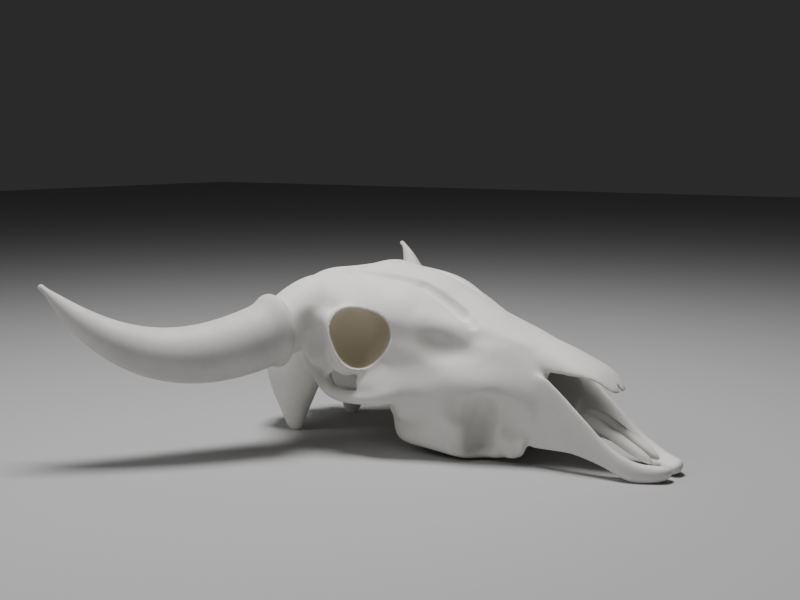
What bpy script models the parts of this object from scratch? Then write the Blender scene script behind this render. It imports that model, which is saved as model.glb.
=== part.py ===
"""A cow skull without its lower jaw, life size, as a one-colour display replica that rests on the floor.

Units are metres and +Z is up. The nose points to -Y and the animal's right side is -X. Both sides are alike,
so sizes are given for the left one. While the skull is modelled, Y is measured back from the place where the
muzzle touches the floor. The last step moves everything so that the origin is under the middle of the whole.

The bones of a skull are fused, so it is modelled as one smooth body and then parted by thin cuts into the
regions that a person would name. The two horns are bodies of their own.
"""

import math

import bmesh
import bpy
import numpy as np
from mathutils import Matrix, Vector

# Driving dimensions
GAP = 0.0003  # between parts that touch
GRAIN = 0.0032  # detail at which the fused skull is blended
SOFTENING = 4
FINE_GRAIN = 0.0023  # detail after the hollows are cut
WHOLE_TRIANGLES = 9000  # of the skull before it is parted
SKULL_TRIANGLES = 8400  # of all its parts
CRUMB = 0.000001  # points nearer than this are one
SIDES = (1, -1)
OVERREACH = 0.02  # of a cutter past a face that is already cut
FLOOR_SNAP = 0.0002  # below this a vertex belongs to the flats that stand on the floor
CREASE = math.radians(40)

ORBIT_CENTRE = Vector((0.1054, 0.2965, 0.1295))
ORBIT_FACING = Vector((0.80, -0.56, 0.17)).normalized()
ORBIT_RADIUS = 0.0327
ORBIT_SIDES = 20
ORBIT_LEAN = 0.024  # shares of the radius that make the round opening egg-shaped
ORBIT_POINTS = (-0.040, 0.056)

HORN_BASE = Vector((0.1385, 0.3841, 0.1352))
HORN_HANDLE = Vector((0.2764, 0.4686, 0.0631))
HORN_BEND = Vector((0.3256, 0.5224, 0.1864))
HORN_TIP = Vector((0.3268, 0.5442, 0.1891))
HORN_FACING = Vector((0.969, 0.243, -0.035)).normalized()  # of the flat end that meets the skull
HORN_TURN = 0.060  # length over which the horn turns from that to its curve
HORN_RADIUS = 0.0351
HORN_COLLAR = 0.0056  # how far the collar at the horn's base stands out
HORN_COLLAR_PLACE = 0.0045
HORN_POINT = 0.0033  # radius of the blunt tip
HORN_SIDES = 16

BONE_COLOUR = (0.78, 0.76, 0.72, 1.0)
HORN_COLOUR = (0.74, 0.72, 0.68, 1.0)

# Stations of the head from the back of the skull to the nose: y, the height of the roof, then the half-width
# and height of the groove, dome, brow, hollow, cheek and jaw, and last the height of the palate.
HEAD_STATIONS = (
    (0.464, 0.120, (0.022, 0.119), (0.038, 0.117), (0.047, 0.113),
     (0.048, 0.102), (0.044, 0.088), (0.038, 0.076), 0.066),
    (0.450, 0.147, (0.032, 0.146), (0.052, 0.142), (0.064, 0.134),
     (0.058, 0.118), (0.054, 0.096), (0.048, 0.072), 0.058),
    (0.430, 0.166, (0.040, 0.165), (0.064, 0.161), (0.080, 0.152),
     (0.066, 0.130), (0.058, 0.104), (0.050, 0.074), 0.056),
    (0.405, 0.181, (0.044, 0.182), (0.074, 0.175), (0.090, 0.163),
     (0.068, 0.140), (0.058, 0.108), (0.050, 0.078), 0.056),
    (0.370, 0.1925, (0.048, 0.1960), (0.078, 0.1915), (0.095, 0.176),
     (0.072, 0.144), (0.056, 0.110), (0.048, 0.080), 0.056),
    (0.335, 0.200, (0.049, 0.194), (0.079, 0.185), (0.102, 0.166),
     (0.094, 0.144), (0.064, 0.110), (0.042, 0.080), 0.054),
    (0.300, 0.197, (0.046, 0.189), (0.078, 0.181), (0.105, 0.156),
     (0.102, 0.134), (0.080, 0.098), (0.040, 0.070), 0.045),
    (0.265, 0.189, (0.043, 0.181), (0.070, 0.173), (0.091, 0.152),
     (0.093, 0.130), (0.094, 0.100), (0.090, 0.062), 0.038),
    (0.235, 0.177, (0.038, 0.168), (0.060, 0.159), (0.0755, 0.142),
     (0.078, 0.121), (0.088, 0.096), (0.088, 0.060), 0.034),
    (0.205, 0.164, (0.037, 0.151), (0.052, 0.144), (0.062, 0.131),
     (0.065, 0.114), (0.080, 0.091), (0.082, 0.058), 0.033),
    (0.180, 0.153, (0.033, 0.143), (0.044, 0.133), (0.053, 0.123),
     (0.060, 0.107), (0.076, 0.080), (0.060, 0.047), 0.033),
    (0.150, 0.140, (0.028, 0.135), (0.037, 0.127), (0.043, 0.118),
     (0.053, 0.099), (0.060, 0.076), (0.050, 0.047), 0.034),
    (0.125, 0.130, (0.024, 0.126), (0.032, 0.118), (0.038, 0.109),
     (0.046, 0.092), (0.050, 0.072), (0.046, 0.050), 0.036),
    (0.100, 0.122, (0.020, 0.118), (0.028, 0.109), (0.033, 0.102),
     (0.038, 0.090), (0.042, 0.074), (0.042, 0.055), 0.040),
)

# Stations of the ridge that held the cheek teeth: half-width outside at the top and at the foot, half-width
# inside, and the heights of top and foot.
TOOTH_ROW_STATIONS = (
    (0.278, 0.076, 0.066, 0.044, 0.060, 0.034),
    (0.271, 0.084, 0.070, 0.040, 0.062, 0.0145),
    (0.244, 0.086, 0.075, 0.039, 0.062, 0.0105),
    (0.214, 0.082, 0.074, 0.038, 0.058, 0.0075),
    (0.192, 0.074, 0.069, 0.037, 0.050, 0.0040),
    (0.176, 0.054, 0.057, 0.035, 0.044, 0.0038),
    (0.158, 0.049, 0.054, 0.035, 0.042, 0.0060),
    (0.142, 0.047, 0.052, 0.035, 0.040, 0.0078),
    (0.131, 0.045, 0.051, 0.037, 0.040, 0.0100),
    (0.124, 0.044, 0.049, 0.038, 0.040, 0.024),
)

# Stations of the bar that runs from each cheek to the nose: half-width outside and inside, the height of its
# crest and of its inner edge, and its bottom.
PREMAXILLA_STATIONS = (
    (0.145, 0.042, 0.033, 0.088, 0.088, 0.034),
    (0.122, 0.0445, 0.0355, 0.094, 0.092, 0.025),
    (0.104, 0.0445, 0.0365, 0.095, 0.089, 0.024),
    (0.080, 0.0435, 0.0345, 0.0765, 0.068, 0.023),
    (0.055, 0.0425, 0.032, 0.0545, 0.043, 0.017),
    (0.035, 0.0425, 0.027, 0.0365, 0.024, 0.010),
    (0.015, 0.042, 0.019, 0.0245, 0.015, 0.001),
    (0.000, 0.037, 0.010, 0.0185, 0.013, -0.001),
    (-0.014, 0.029, 0.004, 0.0165, 0.014, 0.001),
    (-0.024, 0.020, 0.007, 0.015, 0.013, 0.006),
)

# Stations of the nose bones from the forehead to their tips: half-width and height of the edge, height of the
# middle.
NASAL_STATIONS = (
    (0.200, 0.044, 0.124, 0.156),
    (0.160, 0.040, 0.114, 0.143),
    (0.125, 0.037, 0.106, 0.131),
    (0.104, 0.035, 0.1015, 0.1245),
    (0.080, 0.032, 0.0990, 0.1145),
    (0.060, 0.0275, 0.0955, 0.1045),
    (0.048, 0.0225, 0.0880, 0.0945),
    (0.037, 0.0150, 0.0775, 0.0835),
)
NASAL_THICKNESS = 0.005
NASAL_NOTCH = ((0.0, 0.0455), (0.011, 0.026), (-0.011, 0.026))  # between the tips, as (x, y)


def clear_scene():
    for obj in list(bpy.data.objects):
        bpy.data.objects.remove(obj, do_unlink=True)


def material(name, colour, roughness):
    made = bpy.data.materials.new(name)
    made.use_nodes = True
    shader = made.node_tree.nodes["Principled BSDF"]
    shader.inputs["Base Color"].default_value = colour
    shader.inputs["Roughness"].default_value = roughness
    shader.inputs["Metallic"].default_value = 0.0
    made.diffuse_color = colour
    return made


def collection(name):
    made = bpy.data.collections.new(name)
    bpy.context.scene.collection.children.link(made)
    return made


def link(name, mesh, holder):
    obj = bpy.data.objects.new(name, mesh)
    holder.objects.link(obj)
    return obj


def mesh_from(bm, name):
    bmesh.ops.recalc_face_normals(bm, faces=bm.faces[:])
    mesh = bpy.data.meshes.new(name)
    bm.to_mesh(mesh)
    bm.free()
    return mesh


def baked(obj):
    """The object with its modifiers made real."""
    bpy.context.view_layer.update()
    graph = bpy.context.evaluated_depsgraph_get()
    mesh = bpy.data.meshes.new_from_object(obj.evaluated_get(graph))
    obj.modifiers.clear()
    obj.data = mesh
    return obj


def cage_for(rings):
    """The cage whose subdivision surface runs through the rings' own points."""
    wanted = np.array([[tuple(point) for point in ring] for ring in rings])
    cage = wanted.copy()
    for _ in range(6):
        round_ring = (np.roll(cage, 1, axis=1) + 4 * cage + np.roll(cage, -1, axis=1)) / 6
        surface = round_ring.copy()
        surface[1:-1] = (round_ring[:-2] + 4 * round_ring[1:-1] + round_ring[2:]) / 6
        cage += wanted - surface
    return cage


def loft(name, rings, levels=2):
    """A closed body through rings of equally many points, smoothed by subdivision."""
    bm = bmesh.new()
    cage = cage_for(rings) if levels else rings
    loops = [[bm.verts.new(point) for point in ring] for ring in cage]
    for near, far in zip(loops, loops[1:]):
        for i in range(len(near)):
            j = (i + 1) % len(near)
            bm.faces.new((near[i], near[j], far[j], far[i]))
    bm.faces.new(loops[0])
    bm.faces.new(loops[-1])
    obj = link(name, mesh_from(bm, name), helpers)
    if levels:
        smooth = obj.modifiers.new("smooth", "SUBSURF")
        smooth.levels = levels
        smooth.render_levels = levels
        baked(obj)
    return obj


def to_side(point, side):
    """A place given for the left side, on either side."""
    return Vector((side * point[0], point[1], point[2]))


def mirrored_ring(half):
    """A whole ring from the points of its left half, which starts and ends on the middle plane."""
    return half + [to_side(point, -1) for point in reversed(half[1:-1])]


def tube(name, points, radii, sides=10, flat=1.0, flat_axis=Vector((0, 0, 1)), levels=2):
    """A closed bar through the points with the given radii, thinner by the factor flat along flat_axis."""
    path = [Vector(point) for point in points]
    last = len(path) - 1
    rings = []
    for i, (point, radius) in enumerate(zip(path, radii)):
        along = (path[min(i + 1, last)] - path[max(i - 1, 0)]).normalized()
        across = along.cross(flat_axis).normalized()
        up = across.cross(along)
        angles = [2 * math.pi * k / sides for k in range(sides)]
        rings.append([point + radius * (math.cos(a) * across + flat * math.sin(a) * up) for a in angles])
    return loft(name, rings, levels)


def ellipsoid(name, centre, radii):
    bm = bmesh.new()
    bmesh.ops.create_uvsphere(bm, u_segments=32, v_segments=20, radius=1.0)
    place = Matrix.Translation(centre) @ Matrix.Diagonal((*radii, 1.0))
    bmesh.ops.transform(bm, matrix=place, verts=bm.verts[:])
    return link(name, mesh_from(bm, name), helpers)


def head():
    """Forehead, cheeks and the bones between them."""
    rings = []
    for y, roof, groove, dome, brow, hollow, cheek, jaw, palate in HEAD_STATIONS:
        outer_palate = (0.85 * jaw[0], palate)
        inner_palate = (0.45 * jaw[0], palate)
        half = [(0.0, roof), groove, dome, brow, hollow, cheek, jaw]
        half += [outer_palate, inner_palate, (0.0, palate)]
        rings.append(mirrored_ring([Vector((x, y, z)) for x, z in half]))
    return loft("head", rings)


def side_bar(name, stations, side):
    """A bar along one side, higher at its outer crest than at its inner edge."""
    rings = []
    for y, outer, inner, crest, edge, bottom in stations:
        lean = 0.2 * (outer - inner)
        section = (
            (inner + lean, edge),
            (outer - lean, crest),
            (outer, (crest + bottom) / 2),
            (outer - lean, bottom),
            (inner + lean, bottom),
            (inner, (edge + bottom) / 2),
        )
        rings.append([to_side((x, y, z), side) for x, z in section])
    return loft(name, rings)


def tooth_row(side):
    """The ridge under each cheek, wider at its top, where it joins the cheek."""
    rings = []
    for y, top_outer, foot_outer, inner, top, foot in TOOTH_ROW_STATIONS:
        height = top - foot
        section = (
            (inner, top),
            (top_outer - 0.003, top),
            (0.6 * top_outer + 0.4 * foot_outer, foot + 0.62 * height),
            (0.2 * top_outer + 0.8 * foot_outer, foot + 0.30 * height),
            (foot_outer - 0.003, foot),
            (inner + 0.004, foot),
            (inner, foot + 0.4 * height),
        )
        rings.append([to_side((x, y, z), side) for x, z in section])
    return loft("tooth_row", rings)


def nasal_roof():
    """Both nose bones as one arched roof."""
    angles = [math.radians(degrees) for degrees in (90, 60, 30, 0)]
    rings = []
    thin = NASAL_THICKNESS
    for y, width, edge, top in NASAL_STATIONS:
        outer = [Vector((width * math.cos(a), y, edge + (top - edge) * math.sin(a))) for a in angles]
        narrow = 1 - thin / width
        inner = [Vector((p.x * narrow, y, p.z - thin * math.sin(a))) for p, a in zip(outer, angles)]
        rings.append(outer + inner[::-1] + [to_side(p, -1) for p in (inner + outer[::-1])[1:-1]])
    return loft("nasal_roof", rings)


def orbit_shape(name, steps, side):
    """An egg-shaped tube along the eye socket's axis; its steps give depth and share of the radius."""
    across = Vector((0, 0, 1)).cross(ORBIT_FACING).normalized()
    up = ORBIT_FACING.cross(across)
    rings = []
    for depth, share in steps:
        ring = []
        for k in range(ORBIT_SIDES):
            a = 2 * math.pi * k / ORBIT_SIDES
            points = ORBIT_POINTS[0] * math.cos(3 * a) + ORBIT_POINTS[1] * math.sin(3 * a)
            egg = ORBIT_LEAN * math.sin(2 * a) + points
            outwards = math.cos(a) * across + math.sin(a) * up
            place = ORBIT_CENTRE + depth * ORBIT_FACING + ORBIT_RADIUS * share * (1 + egg) * outwards
            ring.append(to_side(place, side))
        rings.append(ring)
    return loft(name, rings)


def orbit_cup(side):
    """The short bony tube that carries the rim of the eye socket."""
    steps = ((-0.062, 0.95), (-0.036, 1.18), (-0.016, 1.16), (-0.005, 1.13), (0.001, 1.07))
    return orbit_shape("orbit_cup", steps, side)


def orbit_socket(side):
    """The hollow of the eye socket, to be cut out."""
    steps = ((-0.047, 0.35), (-0.041, 0.68), (-0.026, 0.93), (0.0, 1.0), (0.020, 1.06))
    return orbit_shape("orbit_socket", steps, side)


def cheek_bone(side):
    """The plate under the eye socket that the arch springs from."""
    route = (
        (0.076, 0.210, 0.084),
        (0.087, 0.240, 0.084),
        (0.096, 0.268, 0.083),
        (0.103, 0.290, 0.080),
        (0.106, 0.301, 0.075),
    )
    points = [to_side(p, side) for p in route]
    facing = to_side((1, 0.3, 0.2), side)
    return tube("cheek_bone", points, (0.016, 0.020, 0.0185, 0.0135, 0.008), flat=0.42, flat_axis=facing)


def temple_plate(side):
    """The flank of the eye socket, which slants down and back to the arch."""
    route = ((0.098, 0.318, 0.142), (0.102, 0.335, 0.122), (0.102, 0.343, 0.100), (0.100, 0.350, 0.086))
    points = [to_side(p, side) for p in route]
    facing = to_side((1, 0.4, 0), side)
    return tube("temple_plate", points, (0.020, 0.019, 0.018, 0.013), flat=0.35, flat_axis=facing)


def temple_wall(side):
    """The sunken wall between the horn's stump and the root of the arch."""
    route = (
        (0.088, 0.360, 0.150),
        (0.092, 0.366, 0.130),
        (0.093, 0.370, 0.112),
        (0.097, 0.364, 0.098),
        (0.100, 0.355, 0.084),
    )
    points = [to_side(p, side) for p in route]
    facing = to_side((1, 0.3, 0), side)
    return tube("temple_wall", points, (0.028, 0.024, 0.020, 0.016, 0.012), flat=0.45, flat_axis=facing)


def temple_fold(side):
    """What rounds the corner between the horn's stump and the eye socket."""
    route = ((0.106, 0.350, 0.160), (0.109, 0.350, 0.137), (0.107, 0.352, 0.114), (0.103, 0.355, 0.094))
    points = [to_side(p, side) for p in route]
    return tube("temple_fold", points, (0.018, 0.017, 0.015, 0.012))


def zygomatic_arch(side):
    route = (
        (0.090, 0.245, 0.075),
        (0.101, 0.275, 0.0655),
        (0.105, 0.300, 0.0630),
        (0.105, 0.322, 0.0625),
        (0.103, 0.341, 0.069),
        (0.098, 0.354, 0.083),
        (0.084, 0.375, 0.098),
        (0.060, 0.392, 0.104),
    )
    points = [to_side(p, side) for p in route]
    return tube("zygomatic_arch", points, (0.012, 0.0095, 0.0078, 0.0072, 0.0082, 0.011, 0.013, 0.012))


def postorbital_bar(side):
    """The bar behind the eye socket, between it and the temple."""
    route = (
        (0.090, 0.345, 0.165),
        (0.103, 0.340, 0.140),
        (0.108, 0.334, 0.113),
        (0.107, 0.320, 0.098),
        (0.105, 0.302, 0.0925),
    )
    points = [to_side(p, side) for p in route]
    return tube("postorbital_bar", points, (0.014, 0.011, 0.010, 0.010, 0.009))


def pedicle(side):
    """The bony stump that carries the horn."""
    route = [Vector(p) for p in ((0.050, 0.362, 0.158), (0.090, 0.372, 0.1525), (0.119, 0.379, 0.1405))]
    route += [HORN_BASE + reach * HORN_FACING for reach in (-0.005, 0.008)]
    points = [to_side(p, side) for p in route]
    return tube("pedicle", points, (0.036, 0.036, 0.034, 0.0315, 0.031), sides=14)


def pedicle_end(side):
    """What is cut from the pedicle so that it ends flat, a gap short of the horn."""
    ends = [to_side(HORN_BASE + reach * HORN_FACING, side) for reach in (-GAP, 0.03)]
    return tube("pedicle_end", ends, (0.045, 0.045), sides=24, levels=0)


def floor_block():
    """What is cut from under the skull, so that it stands on small flats."""
    corners = ((-0.2, -0.1), (0.2, -0.1), (0.2, 0.6), (-0.2, 0.6))
    rings = [[Vector((x, y, z)) for x, y in corners] for z in (-0.05, 0.0)]
    return loft("floor_block", rings, levels=0)


def jugular_process(side):
    """The blade under the back of the skull, which stands on the floor."""
    route = (
        (0.044, 0.420, 0.125),
        (0.050, 0.428, 0.095),
        (0.055, 0.431, 0.060),
        (0.056, 0.430, 0.022),
        (0.055, 0.430, -0.006),
    )
    points = [to_side(p, side) for p in route]
    facing = Vector((1, 0, 0))
    return tube("jugular_process", points, (0.036, 0.043, 0.038, 0.020, 0.009), flat=0.42, flat_axis=facing)


def condyle(side):
    return ellipsoid("condyle", (side * 0.027, 0.462, 0.068), (0.017, 0.020, 0.021))


def braincase():
    return ellipsoid("braincase", (0, 0.385, 0.110), (0.060, 0.078, 0.062))


def nuchal_crest():
    """The low bump at the back of the skull that held the band of the neck."""
    return ellipsoid("nuchal_crest", (0, 0.459, 0.128), (0.026, 0.011, 0.011))


def foramen_magnum():
    """The round hole over the condyles where the spine's cord came in, to be cut out."""
    route = ((0, 0.500, 0.090), (0, 0.470, 0.089), (0, 0.448, 0.087), (0, 0.432, 0.085))
    return tube("foramen_magnum", route, (0.0175, 0.0165, 0.0155, 0.0110))


def palatine_ridge(side):
    """The slim floor bar between the nose opening and its slot in the palate."""
    route = ((0.012, 0.110, 0.052), (0.011, 0.069, 0.050), (0.010, 0.038, 0.036), (0.009, -0.005, 0.013))
    points = [to_side(p, side) for p in route]
    return tube("palatine_ridge", points, (0.008, 0.007, 0.0065, 0.006))


def nose_cavity():
    """The hollow behind the nose opening, to be cut out."""
    rings = []
    for y, width, top, bottom in (
        (0.225, 0.018, 0.118, 0.078),
        (0.190, 0.030, 0.134, 0.066),
        (0.150, 0.036, 0.134, 0.056),
        (0.110, 0.0355, 0.122, 0.050),
        (0.078, 0.034, 0.108, 0.046),
    ):
        rise = top - bottom
        half = [
            (0, top),
            (0.6 * width, top - 0.18 * rise),
            (width, bottom + 0.5 * rise),
            (width, bottom + 0.15 * rise),
            (0.6 * width, bottom),
            (0, bottom),
        ]
        rings.append(mirrored_ring([Vector((x, y, z)) for x, z in half]))
    return loft("nose_cavity", rings)


def nose_opening(side):
    """What is cut from one side wall between the nose bones and the bar under them."""
    profile = (
        (0.110, 0.101), (0.080, 0.0975), (0.060, 0.094), (0.048, 0.087), (0.020, 0.064), (-0.030, 0.040),
        (-0.020, 0.0155), (0.008, 0.020), (0.033, 0.0345), (0.055, 0.0525), (0.083, 0.0775),
    )
    rings = [[to_side((x, y, z), side) for y, z in profile] for x in (0.0335, 0.060)]
    return loft("nose_opening", rings, levels=0)


def nasal_notch():
    """What is cut from between the tips of the two nose bones."""
    rings = [[Vector((x, y, z)) for x, y in NASAL_NOTCH] for z in (0.06, 0.11)]
    return loft("nasal_notch", rings, levels=0)


def joined(objects, name):
    """All the objects' meshes in one object, with the others removed."""
    bm = bmesh.new()
    for obj in objects:
        bm.from_mesh(obj.data)
        bpy.data.objects.remove(obj, do_unlink=True)
    mesh = bpy.data.meshes.new(name)
    bm.to_mesh(mesh)
    bm.free()
    return link(name, mesh, helpers)


def fused(obj, grain, rounds):
    """Overlapping shapes blended into one skin."""
    remesh = obj.modifiers.new("fuse", "REMESH")
    remesh.mode = "VOXEL"
    remesh.voxel_size = grain
    soften = obj.modifiers.new("soften", "SMOOTH")
    soften.factor = 0.5
    soften.iterations = rounds
    return baked(obj)


def cut(obj, cutters):
    for cutter in cutters:
        modifier = obj.modifiers.new("cut", "BOOLEAN")
        modifier.operation = "DIFFERENCE"
        modifier.object = cutter
    baked(obj)
    for cutter in cutters:
        bpy.data.objects.remove(cutter, do_unlink=True)
    return obj


# Places where the skin is evened out: the route on the left side, the radius and the rounds of smoothing.
SMOOTHED = (
    # the cheek, from under the eye socket to the nose
    (((0.100, 0.262, 0.088), (0.080, 0.215, 0.082), (0.048, 0.130, 0.078)), 0.044, 24),
    # the step from the cheek down to the tooth row
    (((0.082, 0.250, 0.046), (0.066, 0.190, 0.036)), 0.034, 20),
    # the cheek's lower edge
    (((0.097, 0.250, 0.072), (0.086, 0.212, 0.074), (0.072, 0.176, 0.078)), 0.032, 26),
    # between the tooth row's front end and the nose
    (((0.050, 0.136, 0.050), (0.047, 0.116, 0.044)), 0.024, 18),
    # from the brow over the horn's stump down to the arch
    (((0.106, 0.354, 0.168), (0.116, 0.352, 0.140), (0.104, 0.358, 0.104)), 0.036, 22),
)

BROW_GROOVE = (
    (0.058, 0.340, 0.200),
    (0.044, 0.295, 0.191),
    (0.034, 0.262, 0.182),
    (0.034, 0.243, 0.171),
    (0.034, 0.226, 0.162),
    (0.036, 0.211, 0.153),
    (0.040, 0.196, 0.143),
)

# Strokes that model the skin: the route on the left side, the radius, and how far the skin rises or sinks.
STROKES = (
    # the brow's rounded front
    (((0.066, 0.236, 0.149), (0.053, 0.199, 0.137)), 0.020, 0.0024),
    # the groove over the eye, which runs down the forehead and round the front of the brow
    (BROW_GROOVE[:6], 0.0115, -0.0078),
    (BROW_GROOVE[2:], 0.0110, -0.0035),
    # the hollow between the brow and the cheek
    (((0.068, 0.222, 0.122), (0.050, 0.187, 0.126)), 0.025, -0.0030),
    # the ridge below that hollow, and the groove under the ridge
    (((0.092, 0.258, 0.115), (0.080, 0.234, 0.110)), 0.026, 0.0016),
    (((0.097, 0.266, 0.097), (0.089, 0.234, 0.094)), 0.029, -0.0030),
    # the sunken face in front of the cheek
    (((0.057, 0.173, 0.062), (0.056, 0.173, 0.020)), 0.022, -0.0150),
    (((0.056, 0.160, 0.060), (0.050, 0.142, 0.050)), 0.026, -0.0060),
    # the recess between the horn's stump and the eye socket
    (((0.124, 0.350, 0.140), (0.120, 0.347, 0.124), (0.117, 0.349, 0.112)), 0.024, -0.0055),
)


def nearness(obj, route, radius):
    """Each vertex's weight, from 1 on the route of either side to 0 at the radius, and its place."""
    place = np.empty(len(obj.data.vertices) * 3)
    obj.data.vertices.foreach_get("co", place)
    place = place.reshape(-1, 3)
    left = np.column_stack((np.abs(place[:, 0]), place[:, 1:]))
    nearest = np.full(len(place), 1e9)
    for start, end in zip(route, route[1:]):
        start = np.array(start)
        step = np.array(end) - start
        share = np.clip((left - start) @ step / (step @ step), 0, 1)
        nearest = np.minimum(nearest, np.linalg.norm(left - start - share[:, None] * step, axis=1))
    return np.clip(1 - (nearest / radius) ** 2, 0, 1) ** 2, place


def stroke(obj, route, radius, rise):
    """Moves the skin near the route along its own normals."""
    weight, place = nearness(obj, route, radius)
    normal = np.empty(place.size, dtype=np.float32)
    obj.data.vertex_normals.foreach_get("vector", normal)
    place += rise * weight[:, None] * normal.reshape(-1, 3)
    obj.data.vertices.foreach_set("co", place.ravel())
    obj.data.update()


def smoothed(obj, route, radius, rounds):
    """Evens out the skin near the route."""
    weight, _ = nearness(obj, route, radius)
    group = obj.vertex_groups.new(name="smoothed")
    for index in np.flatnonzero(weight):
        group.add([int(index)], float(weight[index]), "REPLACE")
    soften = obj.modifiers.new("soften", "SMOOTH")
    soften.factor = 0.5
    soften.iterations = rounds
    soften.vertex_group = group.name
    baked(obj)
    obj.vertex_groups.clear()


def skull():
    parts = [head(), nasal_roof(), braincase(), nuchal_crest()]
    for side in SIDES:
        parts += [
            side_bar("premaxilla", PREMAXILLA_STATIONS, side),
            tooth_row(side),
            orbit_cup(side),
            cheek_bone(side),
            zygomatic_arch(side),
            postorbital_bar(side),
            temple_plate(side),
            temple_wall(side),
            temple_fold(side),
            pedicle(side),
            jugular_process(side),
            condyle(side),
            palatine_ridge(side),
        ]
    body = fused(joined(parts, "skull"), GRAIN, SOFTENING)
    for route, radius, rounds in SMOOTHED:
        smoothed(body, route, radius, rounds)
    for route, radius, rise in STROKES:
        stroke(body, route, radius, rise)
    cut(body, [orbit_socket(1), orbit_socket(-1), foramen_magnum()])
    cut(body, [nose_cavity(), nose_opening(1), nose_opening(-1), nasal_notch()])
    return fused(body, FINE_GRAIN, 1)


def horn_route(side):
    """Places and directions along the middle of the horn, with their distance from its base."""
    controls = (HORN_BASE, HORN_HANDLE, HORN_BEND, HORN_TIP)
    places = []
    for k in range(201):
        t = k / 200
        weights = ((1 - t) ** 3, 3 * (1 - t) ** 2 * t, 3 * (1 - t) * t * t, t**3)
        places.append(to_side(sum((w * c for w, c in zip(weights, controls)), Vector()), side))
    distances = [0.0]
    for near, far in zip(places, places[1:]):
        distances.append(distances[-1] + (far - near).length)
    return np.array(places), np.array(distances)


def horn_radius(distance, length):
    """The horn tapers to a point past a raised collar, and its base is rounded in."""
    taper = (1 - min(distance / length, 1.0) ** 2) ** 0.9
    collar = HORN_COLLAR * math.exp(-(((distance - HORN_COLLAR_PLACE) / 0.0085) ** 2))
    rounding = 1 - 0.14 * max(0.0, 1 - distance / 0.005) ** 2
    blunt = HORN_POINT * math.sqrt(1 - max(0.0, 0.92 + (distance - length) / HORN_POINT) ** 2)
    return max((HORN_RADIUS * taper + collar) * rounding, blunt)


def horn(side):
    places, distances = horn_route(side)
    length = distances[-1]
    stations = [0.0, 0.0015, 0.005, 0.009, 0.013, 0.019, 0.036]
    stations += [0.036 + (length - 0.036) * k / 12 for k in range(1, 12)]
    stations += [length - 0.006, length - 0.0015, length]
    rings = []
    for distance in stations:
        centre = Vector([np.interp(distance, distances, places[:, axis]) for axis in range(3)])
        ahead = Vector([np.interp(distance + 0.004, distances, places[:, axis]) for axis in range(3)])
        behind = Vector([np.interp(distance - 0.004, distances, places[:, axis]) for axis in range(3)])
        turned = max(0.0, 1 - distance / HORN_TURN) ** 2
        along = to_side(HORN_FACING, side).lerp((ahead - behind).normalized(), 1 - turned).normalized()
        across = along.cross(Vector((0, 0, 1))).normalized()
        up = across.cross(along)
        radius = float(horn_radius(distance, length))
        angles = [2 * math.pi * k / HORN_SIDES for k in range(HORN_SIDES)]
        rings.append([centre + radius * (math.cos(a) * across + math.sin(a) * up) for a in angles])
    made = loft("horn_right" if side < 0 else "horn_left", rings, levels=0)
    helpers.objects.unlink(made)
    parts_collection.objects.link(made)
    return made


# The regions that the skull is parted into, in the order in which they are taken off it. Each is a prism
# across the skull: its outline seen from the side, as (y, z), and its reach from the middle plane outwards.
ARCH_OUTLINE = ((0.262, 0.030), (0.400, 0.030), (0.400, 0.109), (0.345, 0.101), (0.262, 0.079))
MAXILLA_OUTLINE = ((0.080, -0.100), (0.291, -0.100), (0.291, 0.060), (0.262, 0.132), (0.080, 0.132))
NOSE_LINE = ((-0.100, -0.0240), (0.107, 0.0995), (0.187, 0.1240))
REGIONS = (
    ("nasal", NOSE_LINE + ((0.187, 0.300), (-0.100, 0.300)), 0.0, 0.2),
    ("premaxilla", ((-0.100, -0.100), (0.100, -0.100), (0.119, 0.200), (-0.100, 0.200)), 0.0, 0.2),
    ("zygomatic_arch", ARCH_OUTLINE, 0.073, 0.2),
    ("orbit", ((0.246, 0.060), (0.300, 0.060), (0.352, 0.090), (0.352, 0.166), (0.246, 0.158)), 0.0755, 0.2),
    ("maxilla", MAXILLA_OUTLINE, 0.0, 0.2),
    ("horn_pedicle", ((0.338, 0.097), (0.430, 0.097), (0.430, 0.210), (0.338, 0.210)), 0.081, 0.2),
    ("jugular_process", ((0.380, -0.100), (0.500, -0.100), (0.500, 0.078), (0.380, 0.078)), 0.036, 0.2),
    ("occipital_condyle", ((0.450, 0.030), (0.500, 0.030), (0.500, 0.092), (0.450, 0.092)), 0.0, 0.048),
)
FOREHEAD = ((0.150, 0.120), (0.256, 0.120), (0.256, 0.142), (0.430, 0.142), (0.430, 0.300), (0.150, 0.300))


def drawn_in(outline, margin):
    """The outline with every edge moved inwards by the margin."""
    points = [Vector(point) for point in outline]
    area = sum(p.cross(q) for p, q in zip(points, points[1:] + points[:1]))
    turn = 1 if area > 0 else -1
    lines = []
    for p, q in zip(points, points[1:] + points[:1]):
        along = (q - p).normalized()
        inward = turn * Vector((-along.y, along.x))
        lines.append((p + margin * inward, along))
    corners = []
    for (p, along), (q, onward) in zip(lines[-1:] + lines[:-1], lines):
        reach = (q - p).cross(onward) / along.cross(onward)
        corners.append(p + reach * along)
    return corners


def prism(outline, near, far, margin):
    """A body across the skull, from near to far outwards, drawn in all round by the margin."""
    rings = []
    for x in (near + margin, far - margin):
        rings.append([Vector((x, y, z)) for y, z in drawn_in(outline, margin)])
    return loft("prism", rings, levels=0)


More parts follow.
